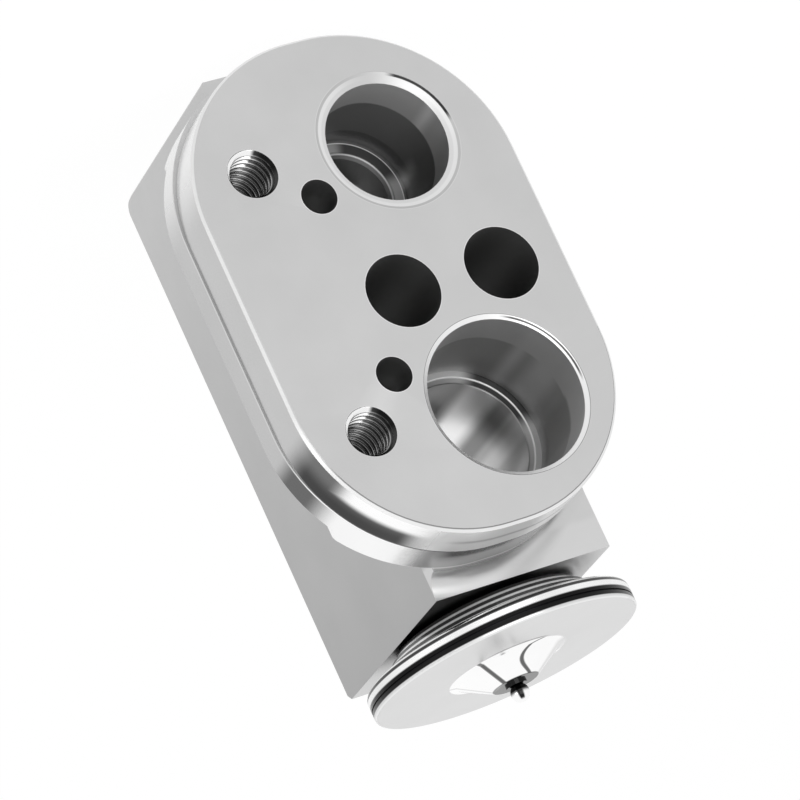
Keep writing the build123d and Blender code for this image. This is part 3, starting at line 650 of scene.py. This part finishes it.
def drilled_holes(tree, tone, x, y, z, deep):
    """Lays painted highlights on the holes' edges and painted shade inside them over the block's tones,
    and gives the mask of all the holes too.
    """
    holes = [(middle, BOLT_HOLE_RADIUS, BACK_Y - 0.2) for middle in BOLT_HOLES]
    holes += [(middle, LOCATOR_RADIUS, LOCATOR_DEPTH) for middle in LOCATORS]
    holes += [(middle, TAP_RADIUS, FLANGE_BACK_Y) for middle in TAPPED_HOLES]
    in_front = fade(tree, y, 0.3, 0.2)
    in_hole = 0.0
    for (hole_x, hole_z), radius, depth in holes:
        distance = about(tree, x, hole_x, z, hole_z, -1)[0]
        edge = band(tree, distance, radius + 0.02, radius + 0.09, 0.03)
        tone = lay(tree, tone, HOLE_EDGE_HIGHLIGHT_TONE, both(tree, edge, in_front))
        within = fade(tree, distance, radius + 0.04, radius + 0.02)
        within = both(tree, deep, within, fade(tree, y, depth + 0.1, depth))
        in_hole = reckon(tree, "MAXIMUM", in_hole, within)
    return lay(tree, tone, HOLE_SHADE_TONE, in_hole), in_hole


def in_port(tree, distance, radius, *limits):
    """Inside a port's bore and its wall, within limits of depth."""
    return both(tree, *limits, fade(tree, distance, radius + 0.06, radius + 0.03))


def block_metal():
    """Aluminium of the block: satin face, polished flange wall and dull bores, with painted reflections,
    highlights and shade laid over them.
    """
    material, tree, shader, grain = new_metal("milled_aluminium")
    x, y, z = place_in_mm(tree)
    normal_x, normal_y, normal_z = facing(tree)
    faces_x = reckon(tree, "ABSOLUTE", normal_x)
    faces_y = reckon(tree, "ABSOLUTE", normal_y)
    arc_radius, turn = about(tree, x, ARC_X, z, ARC_Z)
    deep = fade(tree, y, 0.02, 0.06)
    at_mouth = fade(tree, y, PORT_BEVEL_Y + 0.1, PORT_BEVEL_Y + 0.05)
    before_back = fade(tree, y, BACK_Y - 0.1, BACK_Y - 0.2)
    far_end = fade(tree, z, *FAR_END_Z)
    shown = fade(tree, turn, *SHOWN_SIDE)

    tone = sides_and_shelf(tree, x, y, z, faces_x, faces_y, arc_radius)
    upright = fade(tree, faces_y, 0.5, 0.3)
    wall = both(tree, upright, fade(tree, y, SHELF_FILLET_Y + 0.05, SHELF_FILLET_Y))
    tone = lay(tree, tone, flange_wall(tree, y, turn, far_end, shown), wall)
    tone = bevel_and_end(tree, tone, x, y, z, faces_y, normal_z, turn, at_mouth)

    suction_r, suction_turn = about(tree, x, 0, z, SUCTION_Z, -1)
    in_suction = in_port(tree, suction_r, SUCTION_RADIUS, deep, before_back)
    tone = lay(tree, tone, suction_bore(tree, y, suction_r, suction_turn), in_suction)
    ring = band(tree, suction_r, SUCTION_RADIUS + 0.02, SUCTION_BEVEL_RADIUS + 0.05, 0.03)
    tone = lay(tree, tone, suction_ring(tree, suction_r, suction_turn), both(tree, ring, at_mouth))

    liquid_r, liquid_turn = about(tree, x, 0, z, LIQUID_Z, -1)
    before_end = fade(tree, y, LIQUID_END_Y + 1, LIQUID_END_Y)
    in_liquid = in_port(tree, liquid_r, LIQUID_RADIUS, deep, before_end)
    tone = lay(tree, tone, liquid_bore(tree, y, liquid_r, liquid_turn), in_liquid)
    outlet_r = about(tree, x, 0, z, OUTLET_Z, -1)[0]
    past_start = fade(tree, y, OUTLET_START_Y - 1, OUTLET_START_Y)
    in_outlet = in_port(tree, outlet_r, LIQUID_RADIUS, past_start, before_back)
    tone = lay(tree, tone, OUTLET_SHADE_TONE, in_outlet)
    ring = band(tree, liquid_r, LIQUID_RADIUS + 0.02, LIQUID_BEVEL_RADIUS + 0.05, 0.03)
    tone = lay(tree, tone, liquid_ring(tree, liquid_r, liquid_turn), both(tree, ring, at_mouth))
    tone, bored = drilled_holes(tree, tone, x, y, z, deep)

    for inside in (in_suction, in_liquid, in_outlet):
        bored = reckon(tree, "MAXIMUM", bored, inside)
    roughness = lay(tree, FACE_ROUGHNESS, WALL_ROUGHNESS, wall)
    roughness = lay(tree, roughness, BORE_ROUGHNESS, bored)
    in_passage = fade(tree, suction_r, PASSAGE_RADIUS + 0.15, PASSAGE_RADIUS + 0.1)
    roughness = lay(tree, roughness, PASSAGE_ROUGHNESS, both(tree, in_suction, in_passage))
    near_end = both(tree, fade(tree, turn, *SOFT_END_FROM), shown)
    soft_end = both(tree, wall, reckon(tree, "MAXIMUM", far_end, near_end))
    metallic = reckon(tree, "MULTIPLY_ADD", soft_end, SOFT_END_METALLIC_DROP, 1.0)
    tree.links.new(metallic, shader.inputs["Metallic"])
    height = reckon(tree, "MULTIPLY_ADD", wall, WALL_RELIEF_DROP, 1.0)
    finish_metal(
        tree, shader, grain, tone, roughness, cloud=0.025, spread=0.08, bump=0.12, height=height
    )
    return material


def dress(material, *names):
    """Gives CAD nodes their finish."""
    for name in names:
        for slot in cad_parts[name].material_slots:
            slot.material = material


dress(block_metal(), "valve_block")

# Threads of the two tapped holes: M6 with a pitch of 1 mm, cut right through the flange. Each is a thin
# sleeve with the flanks and crests on its inside, let into the wall of its hole.
THREAD_PITCH = 1.0
THREAD_MAJOR = 3.0
THREAD_MINOR = 2.5
THREAD_START = 0.27
THREAD_END = 10.85
THREAD_MOUTH = 0.25
THREAD_ROOT_FLAT = 0.14
THREAD_FLANK_SHARE = 0.62
THREAD_ROOT_GAP = 0.01
SLEEVE_RADIUS = 3.06
SLEEVE_WALL = 0.02
SLEEVE_STEPS = 96
SLEEVE_ROWS = 240
# Painted highlights on the crests, painted shade in the roots and across one band, and a painted
# highlight near the mouth.
THREAD_ROOT_PAINTED_SHADE_TONE = 0.05
THREAD_CREST_HIGHLIGHT_TONE = 0.38
THREAD_CREST = (THREAD_MINOR + 0.17, THREAD_MINOR + 0.04)
THREAD_SHADE = (-8, 54, 14)
THREAD_ROOT_SHADE_TONE = 0.01
THREAD_CREST_SHADE_TONE = 0.09
THREAD_HIGHLIGHT_TONE = 0.9
THREAD_HIGHLIGHT_FROM = (60, 72)
THREAD_HIGHLIGHT_Y = (5, 3)


def thread_metal():
    """Cut aluminium thread: bright crests and dark roots, as painted highlights and painted shade, with
    a band of painted shade and a painted highlight near the mouth.
    """
    material, tree, shader, grain = new_metal("cut_thread")
    x, y, z = place_in_mm(tree)
    (low_x, low_z), (_, high_z) = TAPPED_HOLES
    middle_z = lay(tree, low_z, high_z, fade(tree, z, -1, 1))
    radius, turn = about(tree, x, low_x, reckon(tree, "SUBTRACT", z, middle_z), 0, -1)
    crest = fade(tree, radius, *THREAD_CREST)
    tone = lay(tree, THREAD_ROOT_PAINTED_SHADE_TONE, THREAD_CREST_HIGHLIGHT_TONE, crest)
    shade_tone = lay(tree, THREAD_ROOT_SHADE_TONE, THREAD_CREST_SHADE_TONE, crest)
    tone = lay(tree, tone, shade_tone, band(tree, turn, *THREAD_SHADE))
    bright = both(tree, fade(tree, turn, *THREAD_HIGHLIGHT_FROM), fade(tree, y, *THREAD_HIGHLIGHT_Y))
    tone = lay(tree, tone, THREAD_HIGHLIGHT_TONE, bright)
    finish_metal(tree, shader, grain, tone, roughness=0.22, cloud=0.02, spread=0.05, bump=0.05)
    return material


def thread_radius(y, angle):
    """Radius of the 60 degree thread at a depth and an angle, with its ends bevelled."""
    phase = (y / THREAD_PITCH - angle / (2 * math.pi)) % 1.0
    flank = abs(phase - 0.5) * 2
    rise = min(1.0, max(0.0, (flank - THREAD_ROOT_FLAT) / THREAD_FLANK_SHARE))
    radius = THREAD_MAJOR - THREAD_ROOT_GAP - rise * (THREAD_MAJOR - THREAD_MINOR)
    mouth = THREAD_MAJOR + THREAD_MOUTH - y
    back_mouth = THREAD_MAJOR - THREAD_ROOT_GAP - (THREAD_END - y)
    return min(SLEEVE_RADIUS - SLEEVE_WALL, max(radius, mouth, back_mouth))


def thread_sleeve(name, x, z, material):
    """Sleeve with an internal thread, closed all round."""
    turns = [2 * math.pi * step / SLEEVE_STEPS for step in range(SLEEVE_STEPS)]
    verts = []
    for row in range(SLEEVE_ROWS + 1):
        y = THREAD_START + (THREAD_END - THREAD_START) * row / SLEEVE_ROWS
        for angle in turns:
            radius = thread_radius(y, angle)
            verts.append((x + radius * math.cos(angle), y, z + radius * math.sin(angle)))
    outer = len(verts)
    for y in (THREAD_START, THREAD_END):
        verts += [(x + SLEEVE_RADIUS * math.cos(a), y, z + SLEEVE_RADIUS * math.sin(a)) for a in turns]
    faces = []
    last = SLEEVE_ROWS * SLEEVE_STEPS
    far = outer + SLEEVE_STEPS
    for step in range(SLEEVE_STEPS):
        after = (step + 1) % SLEEVE_STEPS
        for low in range(0, last, SLEEVE_STEPS):
            high = low + SLEEVE_STEPS
            faces.append((low + step, high + step, high + after, low + after))
        faces.append((outer + step, outer + after, far + after, far + step))
        faces.append((step, after, outer + after, outer + step))
        faces.append((last + after, last + step, far + step, far + after))
    mesh = bpy.data.meshes.new(name)
    mesh.from_pydata([Vector(vert) * mm for vert in verts], [], faces)
    mesh.polygons.foreach_set("use_smooth", [True] * len(faces))
    mesh.materials.append(material)
    sleeve = bpy.data.objects.new(name, mesh)
    scene.collection.objects.link(sleeve)
    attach(sleeve, "housing")


thread_finish = thread_metal()
for name, (hole_x, hole_z) in zip(("lower_thread", "upper_thread"), TAPPED_HOLES):
    thread_sleeve(name, hole_x, hole_z, thread_finish)

# The head: two pressed steel shells clamped over the diaphragm and rolled at the rim, satin on the cap,
# with turned rings underneath. The rings and the rolled rim carry painted reflections and painted shade,
# and the raised centre a painted highlight, with corner lines of painted shade round the filling hole.
AXIS_Y = 27.0
RING_START_Z = 31.75
RING_RISE = 0.87
# Painted reflections and shade: light rings, dark grooves, a dark foot, a light roll with a dark line,
# and a dark rim band.
RING_REFLECTION_BAND = (0.5, 0.93, 0.08)
RING_REFLECTION_TONE = 0.92
GROOVE_SHADE_TONE = 0.06
RING_FOOT_SHADE_TONE = 0.03
ROLL_Z = 34.35
ROLL_REFLECTION_TONE = 0.85
ROLL_LINE_Z = 35.08
ROLL_LINE_REFLECTION_TONE = 0.06
RIM_DARK_Z = 35.95
RIM_DARK_REFLECTION_TONE = 0.012
RING_METALLIC_DROP = -0.75
CAP_EDGE_Z = 37.13
CAP_EDGE_RADIUS = 16.05
# Painted highlights on the cap's edge and raised centre, a painted dark reflection on its side, and
# painted shade at the cone's foot.
CAP_EDGE_HIGHLIGHT_TONE = 0.82
CAP_SIDE_REFLECTION_TONE = 0.015
CAP_TONE = 0.66
CONE_RADIUS = 7.25
CONE_HIGHLIGHT_TONE = 0.97
CONE_FOOT_SHADE_TONE = 0.12
CONE_FOOT_RADII = (7.4, 7.6, 0.1)
CONE_FOOT_SHADE = (-108, -50, 8)
CONE_HIGHLIGHT_END_FROM = (-134, -150)
CONE_TOP_RADIUS = 2.85
CONE_TOP_TONE = 0.05
CONE_TOP_CLOUD_TONE = 0.34
CONE_ROUGHNESS = 0.12
CAP_ROUGHNESS = 0.3
# Painted shade lines that stand for corners between flats round the raised centre.
CORNER_SPACING = 60
CORNER_TURN = 22
CORNER_SHADE_TONE = 0.14
CORNER_FAINT_SHADE_TONE = 0.7
CORNER_FAINT_FROM = (-12, 0)
CORNER_WIDTH = (0.38, 0.16)
CORNER_BEND = 4.8
CORNER_BEND_TURN = 15
CORNER_BEND_RADIUS = 5.0
CORNER_BEND_BAND = (-125, -62, 2)


def base_metal():
    """Steel of the lower shell: turned rings with painted reflections and shade, a painted reflection
    that makes the rolled edge bright, and a painted dark reflection in the rim band.
    """
    material, tree, shader, grain = new_metal("turned_steel")
    z = place_in_mm(tree)[2]
    rise = reckon(tree, "SUBTRACT", z, RING_START_Z)
    ring = reckon(tree, "FRACT", reckon(tree, "DIVIDE", rise, RING_RISE))
    tone = lay(tree, GROOVE_SHADE_TONE, RING_REFLECTION_TONE, band(tree, ring, *RING_REFLECTION_BAND))
    tone = lay(tree, tone, RING_FOOT_SHADE_TONE, fade(tree, z, RING_START_Z + 0.1, RING_START_Z))
    on_rings = fade(tree, z, ROLL_Z + 0.05, ROLL_Z - 0.1)
    roll_line_reflection = band(tree, z, ROLL_LINE_Z - 0.2, ROLL_LINE_Z + 0.2, 0.07)
    tone = lay(tree, lay(tree, ROLL_REFLECTION_TONE, ROLL_LINE_REFLECTION_TONE, roll_line_reflection), tone, on_rings)
    tone = lay(tree, tone, RIM_DARK_REFLECTION_TONE, fade(tree, z, RIM_DARK_Z - 0.12, RIM_DARK_Z + 0.08))
    metallic = reckon(tree, "MULTIPLY_ADD", on_rings, RING_METALLIC_DROP, 1.0)
    tree.links.new(metallic, shader.inputs["Metallic"])
    finish_metal(tree, shader, grain, tone, roughness=0.25, cloud=0.08, spread=0.1, bump=0.08)
    return material


def corner_line(tree, radius, turn):
    """1 on the painted shade lines that stand for the corners between flats round the raised centre, of
    which one is bent.
    """
    bow = reckon(tree, "SUBTRACT", radius, CORNER_BEND_RADIUS)
    bow = reckon(tree, "MULTIPLY", bow, bow)
    bow = reckon(tree, "MULTIPLY_ADD", bow, -CORNER_BEND, CORNER_BEND_TURN)
    bow = reckon(tree, "MULTIPLY", bow, band(tree, turn, *CORNER_BEND_BAND))
    straightened = reckon(tree, "SUBTRACT", turn, reckon(tree, "ADD", bow, CORNER_TURN))
    sector = reckon(tree, "PINGPONG", straightened, CORNER_SPACING / 2)
    reach = reckon(tree, "MULTIPLY", sector, reckon(tree, "MULTIPLY", radius, math.pi / 180))
    return fade(tree, reach, *CORNER_WIDTH)


def cap_metal():
    """Steel of the cap: satin, with painted highlights on its edge and raised centre, a painted dark
    reflection on its side, painted shade at the cone's foot and along its corner lines, and a dark top.
    """
    material, tree, shader, grain = new_metal("pressed_steel")
    x, y, z = place_in_mm(tree)
    radius, turn = about(tree, x, 0, y, AXIS_Y)
    edge = band(tree, radius, CAP_EDGE_RADIUS + 0.12, CAP_EDGE_RADIUS + 0.3, 0.06)
    tone = lay(tree, CAP_TONE, CAP_EDGE_HIGHLIGHT_TONE, edge)
    tone = lay(tree, tone, CAP_SIDE_REFLECTION_TONE, fade(tree, z, CAP_EDGE_Z + 0.02, CAP_EDGE_Z - 0.12))
    foot = both(tree, band(tree, radius, *CONE_FOOT_RADII), band(tree, turn, *CONE_FOOT_SHADE))
    tone = lay(tree, tone, CONE_FOOT_SHADE_TONE, foot)
    corner_shade_tone = lay(tree, CORNER_SHADE_TONE, CORNER_FAINT_SHADE_TONE, fade(tree, turn, *CORNER_FAINT_FROM))
    cone = lay(tree, CONE_HIGHLIGHT_TONE, corner_shade_tone, corner_line(tree, radius, turn))
    cone = lay(tree, cone, CAP_TONE, fade(tree, turn, *CONE_HIGHLIGHT_END_FROM))
    tone = lay(tree, tone, cone, fade(tree, radius, CONE_RADIUS + 0.1, CONE_RADIUS - 0.1))
    clouds = fade(tree, grain.outputs["Cloud"], 0.45, 0.6)
    top_tone = lay(tree, CONE_TOP_TONE, CONE_TOP_CLOUD_TONE, clouds)
    on_top = fade(tree, radius, CONE_TOP_RADIUS + 0.12, CONE_TOP_RADIUS - 0.05)
    tone = lay(tree, tone, top_tone, on_top)
    off_cone = fade(tree, radius, CONE_RADIUS - 0.1, CONE_RADIUS + 0.1)
    roughness = lay(tree, CONE_ROUGHNESS, CAP_ROUGHNESS, off_cone)
    finish_metal(tree, shader, grain, tone, roughness, cloud=0.02, spread=0.06, bump=0.08)
    return material


dress(base_metal(), "head_base")
dress(cap_metal(), "head_cap")

# The charge ball: a small polished steel ball, welded over the filling hole once the head is charged.
# It is painted dark towards the cap as painted shade, and along one side as a painted dark reflection.
BALL_Z = 41.17
BALL_TONE = 0.95
# Painted shade towards the cap, and a painted dark reflection along one side.
BALL_UNDER_SHADE_TONE = 0.12
BALL_UNDER_SHADE_HEIGHT = (-0.2, 0.3)
BALL_REFLECTION_TURN = -66
BALL_REFLECTION_TONE = 0.02
BALL_REFLECTION_HALF_ANGLE = (24, 12)
BALL_REFLECTION_TOP = (1.0, 0.75)


def ball_metal():
    """Polished steel ball, painted dark towards the cap as painted shade and along one side as a painted
    dark reflection.
    """
    material, tree, shader, grain = new_metal("welded_ball")
    x, y, z = place_in_mm(tree)
    turn = about(tree, x, 0, y, AXIS_Y)[1]
    height = reckon(tree, "SUBTRACT", z, BALL_Z)
    tone = lay(tree, BALL_UNDER_SHADE_TONE, BALL_TONE, fade(tree, height, *BALL_UNDER_SHADE_HEIGHT))
    sector = reckon(tree, "PINGPONG", reckon(tree, "SUBTRACT", turn, BALL_REFLECTION_TURN), 180)
    ball_reflection = both(tree, fade(tree, sector, *BALL_REFLECTION_HALF_ANGLE), fade(tree, height, *BALL_REFLECTION_TOP))
    tone = lay(tree, tone, BALL_REFLECTION_TONE, ball_reflection)
    finish_metal(tree, shader, grain, tone, roughness=0.1, cloud=0.02, spread=0.04, bump=0.03)
    return material


dress(ball_metal(), "charge_ball")

# The inner pieces: ground and drawn steel, a turned aluminium rod, turned brass and black rubber. Only a
# little of them shows, through the ports and at the plug's end.


def plain_metal(name, tint, roughness):
    """Metal of one tone, with its grain."""
    material, tree, shader, grain = new_metal(name)
    finish_metal(tree, shader, grain, 1.0, roughness, cloud=0.04, spread=0.1, bump=0.1, tint=tint)
    return material


brass = plain_metal("turned_brass", tint=(0.72, 0.52, 0.24), roughness=0.3)
ground_steel = plain_metal("ground_steel", tint=(0.42, 0.42, 0.42), roughness=0.3)
spring_steel = plain_metal("spring_steel", tint=(0.38, 0.38, 0.39), roughness=0.26)
dress(plain_metal("polished_steel", tint=(0.7, 0.7, 0.7), roughness=0.1), "valve_ball")
dress(plain_metal("turned_aluminium", tint=(0.45, 0.45, 0.45), roughness=0.3), "sensing_rod")
dress(ground_steel, "seat_ring", "ball_carrier", "push_pin")
dress(spring_steel, "damping_ring", "superheat_spring")
dress(plain_metal("blued_steel", tint=(0.02, 0.02, 0.022), roughness=0.3), "diaphragm")
dress(brass, "adjusting_plug", "stop_plate", "seal_retainer")


def seal_rubber():
    """Black rubber with a faint bloom."""
    material, tree, shader, grain = new_metal("black_rubber")
    shader.inputs["Metallic"].default_value = 0.0
    finish_metal(tree, shader, grain, tone=0.02, roughness=0.6, cloud=0.3, spread=0.1, bump=0.2)
    return material


dress(seal_rubber(), "plug_seal", "rod_seal", "head_seal")
